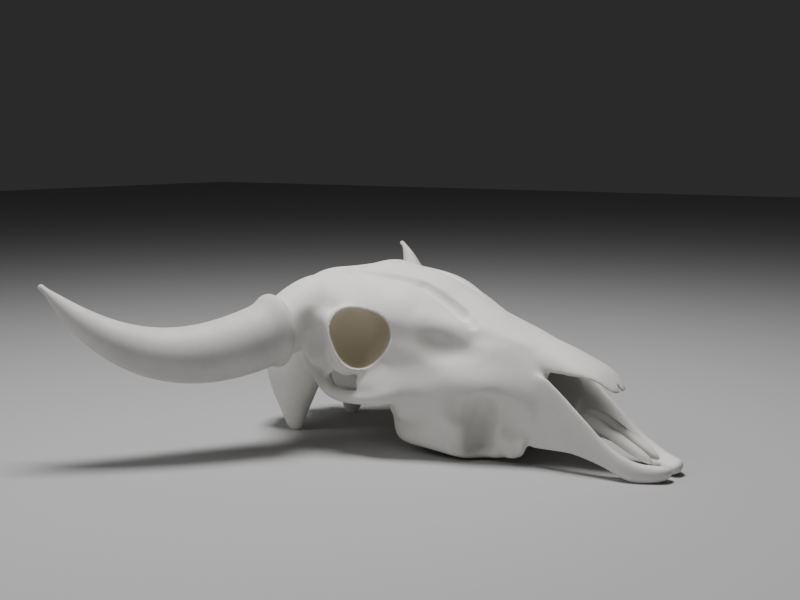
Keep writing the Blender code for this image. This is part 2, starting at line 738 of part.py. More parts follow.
def with_boolean(obj, cutter, operation, name, holder):
    """A new object: what the Boolean operation makes of the object and the cutter."""
    made = link(name, obj.data.copy(), holder)
    modifier = made.modifiers.new("part", "BOOLEAN")
    modifier.operation = operation
    modifier.object = cutter
    baked(made)
    bm = bmesh.new()
    bm.from_mesh(made.data)
    bmesh.ops.remove_doubles(bm, verts=bm.verts[:], dist=CRUMB)
    bmesh.ops.triangulate(bm, faces=bm.faces[:])
    bm.to_mesh(made.data)
    bm.free()
    return made


def largest_piece(obj):
    """Keeps the biggest connected piece, so that no crumb of a cut stays behind."""
    bm = bmesh.new()
    bm.from_mesh(obj.data)
    unseen = set(bm.verts)
    pieces = []
    while unseen:
        front = [unseen.pop()]
        piece = list(front)
        while front:
            for edge in front.pop().link_edges:
                for vert in edge.verts:
                    if vert in unseen:
                        unseen.remove(vert)
                        front.append(vert)
                        piece.append(vert)
        pieces.append(piece)
    pieces.sort(key=len)
    for piece in pieces[:-1]:
        bmesh.ops.delete(bm, geom=piece, context="VERTS")
    bmesh.ops.triangulate(bm, faces=bm.faces[:])
    bm.to_mesh(obj.data)
    bm.free()
    return obj


def thinned(obj, triangles):
    """The object with about so many triangles. Its inner corners stay as they are."""
    bm = bmesh.new()
    bm.from_mesh(obj.data)
    creases = [edge for edge in bm.edges if edge.calc_face_angle_signed() < -CREASE]
    corners = {vert.index for edge in creases for vert in edge.verts}
    free = [vert.index for vert in bm.verts if vert.index not in corners]
    bm.free()
    group = obj.vertex_groups.new(name="free")
    group.add(free, 1.0, "REPLACE")
    decimate = obj.modifiers.new("thin", "DECIMATE")
    obj.data.calc_loop_triangles()
    decimate.ratio = triangles / len(obj.data.loop_triangles)
    decimate.use_collapse_triangulate = True
    decimate.vertex_group = group.name
    baked(obj)
    obj.vertex_groups.clear()
    return obj


def parted(body):
    """The skull's named parts, a little apart from one another."""
    pieces = []
    remainder = body

    def take(cutters, name):
        """Takes the part inside the first cutter off; the remainder loses all that is inside the second."""
        nonlocal remainder
        piece = with_boolean(remainder, cutters[0], "INTERSECT", name, parts_collection)
        pieces.append(largest_piece(piece))
        remainder = with_boolean(remainder, cutters[1], "DIFFERENCE", "remainder", helpers)

    for name, outline, near, far in REGIONS:
        for side, label in ((1, "left"), (-1, "right")):
            start = -OVERREACH if near == 0.0 and side < 0 else near
            cutters = [prism(outline, start, far, margin) for margin in (GAP / 2, -GAP / 2)]
            for cutter in cutters:
                cutter.data.transform(Matrix.Diagonal((side, 1, 1, 1)))
                if side < 0:
                    cutter.data.flip_normals()
            take(cutters, f"{name}_{label}")
    take([prism(FOREHEAD, -0.2, 0.2, margin) for margin in (GAP / 2, -GAP / 2)], "forehead")
    pieces.append(largest_piece(link("braincase", remainder.data, parts_collection)))
    share = SKULL_TRIANGLES / sum(len(piece.data.polygons) for piece in pieces)
    return [thinned(piece, share * len(piece.data.polygons)) for piece in pieces]


def settled(objects):
    """Puts the origin under the middle of the whole, on the floor that it stands on."""
    places = np.array([tuple(vertex.co) for obj in objects for vertex in obj.data.vertices])
    low, high = places.min(axis=0), places.max(axis=0)
    middle = Vector(((low[0] + high[0]) / 2, (low[1] + high[1]) / 2, 0.0))
    for obj in objects:
        for vertex in obj.data.vertices:
            height = vertex.co.z if vertex.co.z > FLOOR_SNAP else 0.0
            vertex.co = Vector((vertex.co.x, vertex.co.y, height)) - middle


clear_scene()
parts_collection = collection("cow_skull")
helpers = collection("helpers")
whole = thinned(skull(), WHOLE_TRIANGLES)
cut(whole, [pedicle_end(1), pedicle_end(-1), floor_block()])
bones = parted(whole)
horns = [horn(side) for side in SIDES]
settled(bones + horns)
for obj in bones:
    obj.data.materials.append(material(obj.name, BONE_COLOUR, 0.6))
    obj.data.set_sharp_from_angle(angle=CREASE)
for obj in horns:
    obj.data.materials.append(material(obj.name, HORN_COLOUR, 0.55))
    obj.data.set_sharp_from_angle(angle=CREASE)
for obj in list(helpers.objects):
    bpy.data.objects.remove(obj, do_unlink=True)
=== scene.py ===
import math

import bmesh
import bpy
import numpy as np
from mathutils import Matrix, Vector


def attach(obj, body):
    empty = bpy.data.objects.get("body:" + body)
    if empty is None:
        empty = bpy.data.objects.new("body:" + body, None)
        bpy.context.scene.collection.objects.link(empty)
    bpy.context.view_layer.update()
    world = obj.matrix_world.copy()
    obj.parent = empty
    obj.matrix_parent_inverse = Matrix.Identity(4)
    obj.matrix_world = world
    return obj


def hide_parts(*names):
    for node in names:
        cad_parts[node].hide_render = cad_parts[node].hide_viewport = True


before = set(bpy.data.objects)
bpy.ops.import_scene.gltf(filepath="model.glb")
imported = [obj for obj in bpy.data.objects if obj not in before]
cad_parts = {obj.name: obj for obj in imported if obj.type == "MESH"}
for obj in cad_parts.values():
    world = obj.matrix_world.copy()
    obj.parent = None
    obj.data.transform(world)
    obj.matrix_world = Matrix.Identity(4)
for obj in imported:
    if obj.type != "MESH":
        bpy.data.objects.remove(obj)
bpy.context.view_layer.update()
bpy.ops.object.select_all(action="DESELECT")
print("frame loaded")

middleOfWhole = 0.26085  # how far behind the muzzle's foot the origin lies


# making shapes


def deselectAll():
    if bpy.context.object and bpy.context.object.mode != "OBJECT":
        bpy.ops.object.mode_set(mode="OBJECT")
    bpy.ops.object.select_all(action="DESELECT")


def pick(piece):
    deselectAll()
    piece.select_set(True)
    bpy.context.view_layer.objects.active = piece


def applyModifier(piece, kind, **settings):
    pick(piece)
    bpy.ops.object.modifier_add(type=kind)
    modifier = piece.modifiers[-1]
    for key, value in settings.items():
        setattr(modifier, key, value)
    bpy.ops.object.modifier_apply(modifier=modifier.name)


def cageFor(rings, rounds=6):
    # the cage whose subdivided surface runs through the rings' own points;
    # a point of that surface is 4 parts of its own cage point and 1 part of each neighbour
    wanted = np.array([[tuple(point) for point in ring] for ring in rings])
    cage = wanted.copy()
    for _ in range(rounds):
        roundRing = (np.roll(cage, 1, axis=1) + 4 * cage + np.roll(cage, -1, axis=1)) / 6
        surface = roundRing.copy()
        surface[1:-1] = (roundRing[:-2] + 4 * roundRing[1:-1] + roundRing[2:]) / 6
        cage += wanted - surface
    return [[Vector(point) for point in ring] for ring in cage]


def extrudeThrough(name, rings, levels=2):
    # a disc is extruded from ring to ring, then rounded by subdivision unless levels is 0
    cage = cageFor(rings) if levels else rings
    deselectAll()
    bpy.ops.mesh.primitive_circle_add(vertices=len(cage[0]), fill_type="NGON")
    piece = bpy.context.object
    piece.name = name
    bpy.ops.object.mode_set(mode="EDIT")
    bpy.ops.mesh.select_mode(type="FACE")
    bpy.ops.mesh.select_all(action="SELECT")
    edit = bmesh.from_edit_mesh(piece.data)
    ring = edit.verts[:]
    for step, points in enumerate(cage):
        if step:
            places = [vert.co.copy() for vert in ring]
            bpy.ops.mesh.extrude_region_move()
            edit = bmesh.from_edit_mesh(piece.data)
            loose = [vert for vert in edit.verts if vert.select]
            ring = [min(loose, key=lambda vert: (vert.co - place).length_squared) for place in places]
        for vert, point in zip(ring, points):
            vert.co = point
        bmesh.update_edit_mesh(piece.data)
    bpy.ops.mesh.select_all(action="SELECT")
    bpy.ops.mesh.normals_make_consistent(inside=False)
    bpy.ops.object.mode_set(mode="OBJECT")
    if levels:
        applyModifier(piece, "SUBSURF", levels=levels, render_levels=levels)
    return piece


def bar(name, route, radii, sides=10, flat=1.0, facing=(0, 0, 1), levels=2):
    # a round or flattened bar along a route
    path = [Vector(point) for point in route]
    last = len(path) - 1
    rings = []
    for index, (point, radius) in enumerate(zip(path, radii)):
        along = (path[min(index + 1, last)] - path[max(index - 1, 0)]).normalized()
        across = along.cross(Vector(facing)).normalized()
        up = across.cross(along)
        angles = [2 * math.pi * k / sides for k in range(sides)]
        rings.append([point + radius * (math.cos(a) * across + flat * math.sin(a) * up) for a in angles])
    return extrudeThrough(name, rings, levels)


def ball(name, centre, radii, segments=48, rings=32):
    deselectAll()
    bpy.ops.mesh.primitive_uv_sphere_add(segments=segments, ring_count=rings, radius=1, location=centre)
    piece = bpy.context.object
    piece.name = name
    piece.scale = radii
    bpy.ops.object.transform_apply(location=True, rotation=True, scale=True)
    return piece


def mirroredRing(half):
    # a closed ring from its left half, whose first and last points lie in the middle
    return half + [Vector((-point.x, point.y, point.z)) for point in reversed(half[1:-1])]


def joinPieces(pieces, name):
    deselectAll()
    for piece in pieces:
        piece.select_set(True)
    bpy.context.view_layer.objects.active = pieces[0]
    bpy.ops.object.join()
    bpy.context.object.name = name
    return bpy.context.object


def mirrorCopy(piece, name):
    # the same piece for the animal's right side, with its own mesh
    pick(piece)
    bpy.ops.object.duplicate()
    copy = bpy.context.object
    copy.name = name
    bpy.ops.object.mode_set(mode="EDIT")
    bpy.ops.mesh.select_all(action="SELECT")
    bpy.ops.transform.resize(value=(-1, 1, 1), center_override=(0, 0, 0))
    bpy.ops.mesh.normals_make_consistent(inside=False)
    bpy.ops.object.mode_set(mode="OBJECT")
    return copy


def cutAway(piece, cutter):
    applyModifier(piece, "BOOLEAN", operation="DIFFERENCE", solver="EXACT", object=cutter)
    bpy.data.objects.remove(cutter, do_unlink=True)


# the skull's own shapes, left side where there are two; y runs back from the muzzle's foot

headValues = {
    # y, height of the roof, (half-width, height) of groove, dome and brow,
    # then of hollow, cheek and jaw, height of the palate
    "stations": (
        (0.464, 0.120, (0.022, 0.119), (0.038, 0.117), (0.047, 0.113),
         (0.048, 0.102), (0.044, 0.088), (0.038, 0.076), 0.066),
        (0.450, 0.147, (0.032, 0.146), (0.052, 0.142), (0.064, 0.134),
         (0.058, 0.118), (0.054, 0.096), (0.048, 0.072), 0.058),
        (0.430, 0.166, (0.040, 0.165), (0.064, 0.161), (0.080, 0.152),
         (0.066, 0.130), (0.058, 0.104), (0.050, 0.074), 0.056),
        (0.405, 0.181, (0.044, 0.182), (0.074, 0.175), (0.090, 0.163),
         (0.068, 0.140), (0.058, 0.108), (0.050, 0.078), 0.056),
        (0.370, 0.1925, (0.048, 0.1960), (0.078, 0.1915), (0.095, 0.176),
         (0.072, 0.144), (0.056, 0.110), (0.048, 0.080), 0.056),
        (0.335, 0.200, (0.049, 0.194), (0.079, 0.185), (0.102, 0.166),
         (0.094, 0.144), (0.064, 0.110), (0.042, 0.080), 0.054),
        (0.300, 0.197, (0.046, 0.189), (0.078, 0.181), (0.105, 0.156),
         (0.102, 0.134), (0.080, 0.098), (0.040, 0.070), 0.045),
        (0.265, 0.189, (0.043, 0.181), (0.070, 0.173), (0.091, 0.152),
         (0.093, 0.130), (0.094, 0.100), (0.090, 0.062), 0.038),
        (0.235, 0.177, (0.038, 0.168), (0.060, 0.159), (0.0755, 0.142),
         (0.078, 0.121), (0.088, 0.096), (0.088, 0.060), 0.034),
        (0.205, 0.164, (0.037, 0.151), (0.052, 0.144), (0.062, 0.131),
         (0.065, 0.114), (0.080, 0.091), (0.082, 0.058), 0.033),
        (0.180, 0.153, (0.033, 0.143), (0.044, 0.133), (0.053, 0.123),
         (0.060, 0.107), (0.076, 0.080), (0.060, 0.047), 0.033),
        (0.150, 0.140, (0.028, 0.135), (0.037, 0.127), (0.043, 0.118),
         (0.053, 0.099), (0.060, 0.076), (0.050, 0.047), 0.034),
        (0.125, 0.130, (0.024, 0.126), (0.032, 0.118), (0.038, 0.109),
         (0.046, 0.092), (0.050, 0.072), (0.046, 0.050), 0.036),
        (0.100, 0.122, (0.020, 0.118), (0.028, 0.109), (0.033, 0.102),
         (0.038, 0.090), (0.042, 0.074), (0.042, 0.055), 0.040),
    ),
    "palateShares": (0.85, 0.45, 0.0),  # of the jaw's half-width
}


def makeHead():
    rings = []
    for y, roof, groove, dome, brow, hollow, cheek, jaw, palate in headValues["stations"]:
        half = [(0.0, roof), groove, dome, brow, hollow, cheek, jaw]
        half += [(share * jaw[0], palate) for share in headValues["palateShares"]]
        rings.append(mirroredRing([Vector((x, y, z)) for x, z in half]))
    return extrudeThrough("head", rings)


muzzleValues = {
    # y, half-width outside and inside, height of the crest and of the inner edge, bottom
    "stations": (
        (0.145, 0.042, 0.033, 0.088, 0.088, 0.034),
        (0.122, 0.0445, 0.0355, 0.094, 0.092, 0.025),
        (0.104, 0.0445, 0.0365, 0.095, 0.089, 0.024),
        (0.080, 0.0435, 0.0345, 0.0765, 0.068, 0.023),
        (0.055, 0.0425, 0.032, 0.0545, 0.043, 0.017),
        (0.035, 0.0425, 0.027, 0.0365, 0.024, 0.010),
        (0.015, 0.042, 0.019, 0.0245, 0.015, 0.001),
        (0.000, 0.037, 0.010, 0.0185, 0.013, -0.001),
        (-0.014, 0.029, 0.004, 0.0165, 0.014, 0.001),
        (-0.024, 0.020, 0.007, 0.015, 0.013, 0.006),
    ),
    "lean": 0.2,  # how far the upper and lower points come inwards, as a share of the bar's width
    "floorBar": {
        "route": ((0.012, 0.110, 0.052), (0.011, 0.069, 0.050),
                  (0.010, 0.038, 0.036), (0.009, -0.005, 0.013)),
        "radii": (0.008, 0.007, 0.0065, 0.006),
    },
}


def makeMuzzleBar():
    rings = []
    for y, outer, inner, crest, edge, bottom in muzzleValues["stations"]:
        lean = muzzleValues["lean"] * (outer - inner)
        section = (
            (inner + lean, edge),
            (outer - lean, crest),
            (outer, (crest + bottom) / 2),
            (outer - lean, bottom),
            (inner + lean, bottom),
            (inner, (edge + bottom) / 2),
        )
        rings.append([Vector((x, y, z)) for x, z in section])
    return extrudeThrough("muzzleBar", rings)


def makeFloorBar():
    return bar("floorBar", **muzzleValues["floorBar"])


toothRowValues = {
    # y, half-width outside at the top and at the foot, half-width inside, height of top and foot
    "stations": (
        (0.278, 0.076, 0.066, 0.044, 0.060, 0.034),
        (0.271, 0.084, 0.070, 0.040, 0.062, 0.0145),
        (0.244, 0.086, 0.075, 0.039, 0.062, 0.0105),
        (0.214, 0.082, 0.074, 0.038, 0.058, 0.0075),
        (0.192, 0.074, 0.069, 0.037, 0.050, 0.0040),
        (0.176, 0.054, 0.057, 0.035, 0.044, 0.0038),
        (0.158, 0.049, 0.054, 0.035, 0.042, 0.0060),
        (0.142, 0.047, 0.052, 0.035, 0.040, 0.0078),
        (0.131, 0.045, 0.051, 0.037, 0.040, 0.0100),
        (0.124, 0.044, 0.049, 0.038, 0.040, 0.024),
    ),
    "bevel": 0.003,
    "innerBevel": 0.004,
    "outerCurve": ((0.6, 0.62), (0.2, 0.30)),  # share of the top's half-width, share of the height
    "innerKnee": 0.4,  # share of the height
}


def makeToothRow():
    values = toothRowValues
    rings = []
    for y, topOuter, footOuter, inner, top, foot in values["stations"]:
        height = top - foot
        section = [(inner, top), (topOuter - values["bevel"], top)]
        for topShare, heightShare in values["outerCurve"]:
            section.append((topShare * topOuter + (1 - topShare) * footOuter, foot + heightShare * height))
        section += [(footOuter - values["bevel"], foot), (inner + values["innerBevel"], foot)]
        section.append((inner, foot + values["innerKnee"] * height))
        rings.append([Vector((x, y, z)) for x, z in section])
    return extrudeThrough("toothRow", rings)


noseValues = {
    # y, half-width and height of the edge, height of the middle
    "stations": (
        (0.200, 0.044, 0.124, 0.156),
        (0.160, 0.040, 0.114, 0.143),
        (0.125, 0.037, 0.106, 0.131),
        (0.104, 0.035, 0.1015, 0.1245),
        (0.080, 0.032, 0.0990, 0.1145),
        (0.060, 0.0275, 0.0955, 0.1045),
        (0.048, 0.0225, 0.0880, 0.0945),
        (0.037, 0.0150, 0.0775, 0.0835),
    ),
    "thickness": 0.005,
    "archDegrees": (90, 60, 30, 0),  # from the middle down to the edge
    "notch": ((0.0, 0.0455), (0.011, 0.026), (-0.011, 0.026)),  # between the tips, as (x, y)
    "notchHeights": (0.06, 0.11),
}


def makeNoseRoof():
    angles = [math.radians(degrees) for degrees in noseValues["archDegrees"]]
    thin = noseValues["thickness"]
    rings = []
    for y, width, edge, top in noseValues["stations"]:
        outer = [Vector((width * math.cos(a), y, edge + (top - edge) * math.sin(a))) for a in angles]
        narrow = 1 - thin / width
        inner = [Vector((p.x * narrow, y, p.z - thin * math.sin(a))) for p, a in zip(outer, angles)]
        rings.append(outer + inner[::-1] + [Vector((-p.x, p.y, p.z)) for p in (inner + outer[::-1])[1:-1]])
    return extrudeThrough("noseRoof", rings)


def makeNoseNotch():
    rings = [[Vector((x, y, z)) for x, y in noseValues["notch"]] for z in noseValues["notchHeights"]]
    return extrudeThrough("noseNotch", rings, levels=0)


eyeSocketValues = {
    "centre": Vector((0.1054, 0.2965, 0.1295)),
    "facing": Vector((0.80, -0.56, 0.17)),
    "radius": 0.0327,
    # shares of the radius that make the outline egg-shaped
    "lean": 0.024,
    "points": (-0.040, 0.056),
    # place along the facing, share of the radius
    "rimSteps": ((-0.062, 0.95), (-0.036, 1.18), (-0.016, 1.16), (-0.005, 1.13), (0.001, 1.07)),
    "hollowSteps": ((-0.047, 0.35), (-0.041, 0.68), (-0.026, 0.93), (0.0, 1.0), (0.020, 1.06)),
    "sides": 20,
}


def makeSocketShape(name, steps):
    values = eyeSocketValues
    facing = values["facing"].normalized()
    across = Vector((0, 0, 1)).cross(facing).normalized()
    up = facing.cross(across)
    rings = []
    for depth, share in steps:
        ring = []
        for k in range(values["sides"]):
            a = 2 * math.pi * k / values["sides"]
            egg = values["lean"] * math.sin(2 * a)
            egg += values["points"][0] * math.cos(3 * a) + values["points"][1] * math.sin(3 * a)
            reach = values["radius"] * share * (1 + egg)
            ring.append(values["centre"] + depth * facing + reach * (math.cos(a) * across + math.sin(a) * up))
        rings.append(ring)
    return extrudeThrough(name, rings)


cheekValues = {
    "cheekPlate": {
        "route": ((0.076, 0.210, 0.084), (0.087, 0.240, 0.084), (0.096, 0.268, 0.083),
                  (0.103, 0.290, 0.080), (0.106, 0.301, 0.075)),
        "radii": (0.016, 0.020, 0.0185, 0.0135, 0.008),
        "flat": 0.42,
        "facing": (1, 0.3, 0.2),
    },
    "templePlate": {
        "route": ((0.098, 0.318, 0.142), (0.102, 0.335, 0.122), (0.102, 0.343, 0.100), (0.100, 0.350, 0.086)),
        "radii": (0.020, 0.019, 0.018, 0.013),
        "flat": 0.35,
        "facing": (1, 0.4, 0),
    },
    "templeWall": {
        "route": ((0.088, 0.360, 0.150), (0.092, 0.366, 0.130), (0.093, 0.370, 0.112),
                  (0.097, 0.364, 0.098), (0.100, 0.355, 0.084)),
        "radii": (0.028, 0.024, 0.020, 0.016, 0.012),
        "flat": 0.45,
        "facing": (1, 0.3, 0),
    },
    "templeFold": {
        "route": ((0.106, 0.350, 0.160), (0.109, 0.350, 0.137), (0.107, 0.352, 0.114), (0.103, 0.355, 0.094)),
        "radii": (0.018, 0.017, 0.015, 0.012),
    },
    "cheekArch": {
        "route": ((0.090, 0.245, 0.075), (0.101, 0.275, 0.0655), (0.105, 0.300, 0.0630),
                  (0.105, 0.322, 0.0625), (0.103, 0.341, 0.069), (0.098, 0.354, 0.083),
                  (0.084, 0.375, 0.098), (0.060, 0.392, 0.104)),
        "radii": (0.012, 0.0095, 0.0078, 0.0072, 0.0082, 0.011, 0.013, 0.012),
    },
    "barBehindEye": {
        "route": ((0.090, 0.345, 0.165), (0.103, 0.340, 0.140), (0.108, 0.334, 0.113),
                  (0.107, 0.320, 0.098), (0.105, 0.302, 0.0925)),
        "radii": (0.014, 0.011, 0.010, 0.010, 0.009),
    },
}


def makeCheek():
    return [bar(name, **values) for name, values in cheekValues.items()]


backValues = {
    "process": {
        "route": ((0.044, 0.420, 0.125), (0.050, 0.428, 0.095), (0.055, 0.431, 0.060),
                  (0.056, 0.430, 0.022), (0.055, 0.430, -0.006)),
        "radii": (0.036, 0.043, 0.038, 0.020, 0.009),
        "flat": 0.42,
        "facing": (1, 0, 0),
    },
    "condyle": {"centre": (0.027, 0.462, 0.068), "radii": (0.017, 0.020, 0.021)},
    "brain": {"centre": (0, 0.385, 0.110), "radii": (0.060, 0.078, 0.062)},
    "neckCrest": {"centre": (0, 0.459, 0.128), "radii": (0.026, 0.011, 0.011)},
    "spineHole": {
        "route": ((0, 0.500, 0.090), (0, 0.470, 0.089), (0, 0.448, 0.087), (0, 0.432, 0.085)),
        "radii": (0.0175, 0.0165, 0.0155, 0.0110),
    },
}


def makeBack():
    # the process that the skull rests on, and the knob beside the spine's hole
    return [bar("processBelow", **backValues["process"]), ball("condyle", **backValues["condyle"])]


hornValues = {
    # the four handles of the curve along the horn's middle
    "base": Vector((0.1385, 0.3841, 0.1352)),
    "baseHandle": Vector((0.2764, 0.4686, 0.0631)),
    "tipHandle": Vector((0.3256, 0.5224, 0.1864)),
    "tip": Vector((0.3266, 0.5442, 0.1891)),  # 0.2 mm short of the solid's, to stay inside its box
    "curveSteps": 400,
    "facing": Vector((0.969, 0.243, -0.035)),  # of the flat end that meets the skull
    "turn": 0.060,  # length over which the horn turns from that to its curve
    "lookAlong": 0.004,  # how far ahead and behind its direction is read
    "radius": 0.0351,
    "taperPower": 0.9,
    "collar": 0.0056,  # how far it stands out
    "collarPlace": 0.0045,  # from the base
    "collarWidth": 0.0085,
    "edgeRounding": 0.14,  # share of the radius that the flat end loses at its edge
    "edgeReach": 0.005,
    "point": 0.0033,  # radius of the blunt tip
    "pointCut": 0.92,  # where the round point is cut flat, as a share of its radius
    "sides": 32,
    # distances of the rings from the base, and from the tip
    "baseRings": (0.0, 0.0008, 0.0018, 0.003, 0.0045, 0.006, 0.008,
                  0.010, 0.0125, 0.015, 0.018, 0.022, 0.027),
    "middleRings": 40,
    "middleStart": 0.033,
    "middleEnd": 0.009,
    "tipRings": (0.006, 0.004, 0.0025, 0.0015, 0.0007, 0.0),
}
stumpValues = {
    "root": ((0.050, 0.362, 0.158), (0.090, 0.372, 0.1525), (0.119, 0.379, 0.1405)),
    "endReach": (-0.005, 0.008),  # past the horn's base; the last is cut off again
    "radii": (0.036, 0.036, 0.034, 0.0315, 0.031),
    "sides": 14,
    "gap": 0.0003,
    "cutterReach": 0.03,
    "cutterRadius": 0.045,
    "cutterSides": 48,
}


def besideHornBase(reach):
    return hornValues["base"] + reach * hornValues["facing"].normalized()


def makeStump():
    route = [Vector(place) for place in stumpValues["root"]]
    route += [besideHornBase(reach) for reach in stumpValues["endReach"]]
    return bar("hornStump", route, stumpValues["radii"], sides=stumpValues["sides"])


def makeStumpCutter():
    ends = [besideHornBase(reach) for reach in (-stumpValues["gap"], stumpValues["cutterReach"])]
    radii = (stumpValues["cutterRadius"], stumpValues["cutterRadius"])
    return bar("stumpCutter", ends, radii, sides=stumpValues["cutterSides"], levels=0)


noseHollowValues = {
    # y, half-width, top, bottom
    "stations": (
        (0.225, 0.018, 0.118, 0.078),
        (0.190, 0.030, 0.134, 0.066),
        (0.150, 0.036, 0.134, 0.056),
        (0.110, 0.0355, 0.122, 0.050),
        (0.078, 0.034, 0.108, 0.046),
    ),
    # outline of the hollow in those stations: share of the half-width, share of the height
    "section": ((0, 1), (0.6, 0.82), (1, 0.5), (1, 0.15), (0.6, 0), (0, 0)),
    # outline of the opening seen from the side, (y, z)
    "opening": (
        (0.110, 0.101), (0.080, 0.0975), (0.060, 0.094), (0.048, 0.087), (0.020, 0.064), (-0.030, 0.040),
        (-0.020, 0.0155), (0.008, 0.020), (0.033, 0.0345), (0.055, 0.0525), (0.083, 0.0775),
    ),
    "openingReach": (0.0335, 0.060),  # x of the cutter's two ends
}


def makeNoseHollow():
    rings = []
    for y, width, top, bottom in noseHollowValues["stations"]:
        half = [(wide * width, bottom + high * (top - bottom)) for wide, high in noseHollowValues["section"]]
        rings.append(mirroredRing([Vector((x, y, z)) for x, z in half]))
    return extrudeThrough("noseHollow", rings)


def makeNoseOpening():
    outline = noseHollowValues["opening"]
    rings = [[Vector((x, y, z)) for y, z in outline] for x in noseHollowValues["openingReach"]]
    return extrudeThrough("noseOpening", rings, levels=0)


# sculpting the fused skin

sculptValues = {
    "grain": 0.0017,  # of the first fusing, before the strokes
    "softening": 15,
    "fineGrain": 0.0014,  # of the second, after the hollows are cut
    "fineSoftening": 3,
    "smoothingFactor": 0.5,
    "triangles": 185000,
    # route, radius, rounds of smoothing
    "smoothing": (
        # the cheek, from under the eye socket to the nose
        (((0.100, 0.262, 0.088), (0.080, 0.215, 0.082), (0.048, 0.130, 0.078)), 0.044, 85),
        # the step from the cheek down to the tooth row
        (((0.082, 0.250, 0.046), (0.066, 0.190, 0.036)), 0.034, 70),
        # the cheek's lower edge
        (((0.097, 0.250, 0.072), (0.086, 0.212, 0.074), (0.072, 0.176, 0.078)), 0.032, 90),
        # between the tooth row's front end and the nose
        (((0.050, 0.136, 0.050), (0.047, 0.116, 0.044)), 0.024, 60),
        # from the brow over the horn's stump down to the arch
        (((0.106, 0.354, 0.168), (0.116, 0.352, 0.140), (0.104, 0.358, 0.104)), 0.036, 75),
        # the bump over the hole at the back
        (((0.000, 0.464, 0.128), (0.026, 0.462, 0.128)), 0.026, 60),
    ),
    # route, radius, rise
    "strokes": (
        # the brow's rounded front
        (((0.066, 0.236, 0.149), (0.053, 0.199, 0.137)), 0.020, 0.0024),
        # the groove over the eye, which runs down the forehead and round the front of the brow
        (
            ((0.058, 0.340, 0.200), (0.0505, 0.316, 0.196), (0.0430, 0.293, 0.191), (0.0375, 0.274, 0.186),
             (0.0345, 0.257, 0.179), (0.0335, 0.241, 0.170), (0.034, 0.226, 0.162), (0.036, 0.211, 0.153)),
            0.0115,
            -0.0078,
        ),
        (
            ((0.034, 0.262, 0.182), (0.034, 0.243, 0.171), (0.034, 0.226, 0.162),
             (0.036, 0.211, 0.153), (0.040, 0.196, 0.143)),
            0.0110,
            -0.0035,
        ),
        # the hollow between the brow and the cheek
        (((0.068, 0.222, 0.122), (0.050, 0.187, 0.126)), 0.025, -0.0030),
        # the ridge below that hollow, and the groove under the ridge
        (((0.092, 0.258, 0.115), (0.080, 0.234, 0.110)), 0.026, 0.0016),
        (((0.097, 0.266, 0.097), (0.089, 0.234, 0.094)), 0.029, -0.0030),
        # the sunken face in front of the cheek
        (((0.057, 0.173, 0.062), (0.056, 0.173, 0.020)), 0.022, -0.0150),
        (((0.056, 0.160, 0.060), (0.050, 0.142, 0.050)), 0.026, -0.0060),
        # the recess between the horn's stump and the eye socket
        (((0.124, 0.350, 0.140), (0.120, 0.347, 0.124), (0.117, 0.349, 0.112)), 0.024, -0.0055),
        # between the roots of the teeth
        (((0.075, 0.206, 0.000), (0.077, 0.206, 0.016)), 0.0065, -0.0016),
        (((0.069, 0.184, 0.000), (0.071, 0.184, 0.018)), 0.0065, -0.0018),
        (((0.055, 0.168, 0.000), (0.055, 0.168, 0.018)), 0.0065, -0.0018),
        (((0.049, 0.151, 0.002), (0.049, 0.151, 0.020)), 0.0065, -0.0018),
        (((0.047, 0.134, 0.004), (0.047, 0.134, 0.020)), 0.0065, -0.0016),
    ),
}
floorCutterValues = {
    "centre": (0, 0.25, -0.05),
    "size": (0.8, 1.2, 0.1),  # so that its top lies at the floor, z 0
}


def closeness(piece, route, radius):
    # each vertex's weight, from 1 on the route of either side to 0 at the radius, and its place
    place = np.empty(len(piece.data.vertices) * 3)
    piece.data.vertices.foreach_get("co", place)
    place = place.reshape(-1, 3)
    left = np.column_stack((np.abs(place[:, 0]), place[:, 1:]))
    nearest = np.full(len(place), np.inf)
    for start, end in zip(route, route[1:]):
        start = np.array(start)
        step = np.array(end) - start
        share = np.clip((left - start) @ step / (step @ step), 0, 1)
        nearest = np.minimum(nearest, np.linalg.norm(left - start - share[:, None] * step, axis=1))
    return np.clip(1 - (nearest / radius) ** 2, 0, 1) ** 2, place


def drawStroke(piece, route, radius, rise):
    # the skin near the route moves along its own normals
    weight, place = closeness(piece, route, radius)
    normal = np.empty(place.size, dtype=np.float32)
    piece.data.vertex_normals.foreach_get("vector", normal)
    place += rise * weight[:, None] * normal.reshape(-1, 3)
    piece.data.vertices.foreach_set("co", place.ravel())
    piece.data.update()


def smoothNear(piece, route, radius, rounds):
    weight, _ = closeness(piece, route, radius)
    group = piece.vertex_groups.new(name="smoothing")
    for index in np.flatnonzero(weight):
        group.add([int(index)], float(weight[index]), "REPLACE")
    factor = sculptValues["smoothingFactor"]
    applyModifier(piece, "SMOOTH", factor=factor, iterations=rounds, vertex_group=group.name)
    piece.vertex_groups.clear()


def fuse(piece, grain, rounds):
    applyModifier(piece, "REMESH", mode="VOXEL", voxel_size=grain)
    applyModifier(piece, "SMOOTH", factor=sculptValues["smoothingFactor"], iterations=rounds)


def makeFloorCutter():
    deselectAll()
    bpy.ops.mesh.primitive_cube_add(size=1, location=floorCutterValues["centre"])
    piece = bpy.context.object
    piece.scale = floorCutterValues["size"]
    bpy.ops.object.transform_apply(location=True, rotation=True, scale=True)
    return piece


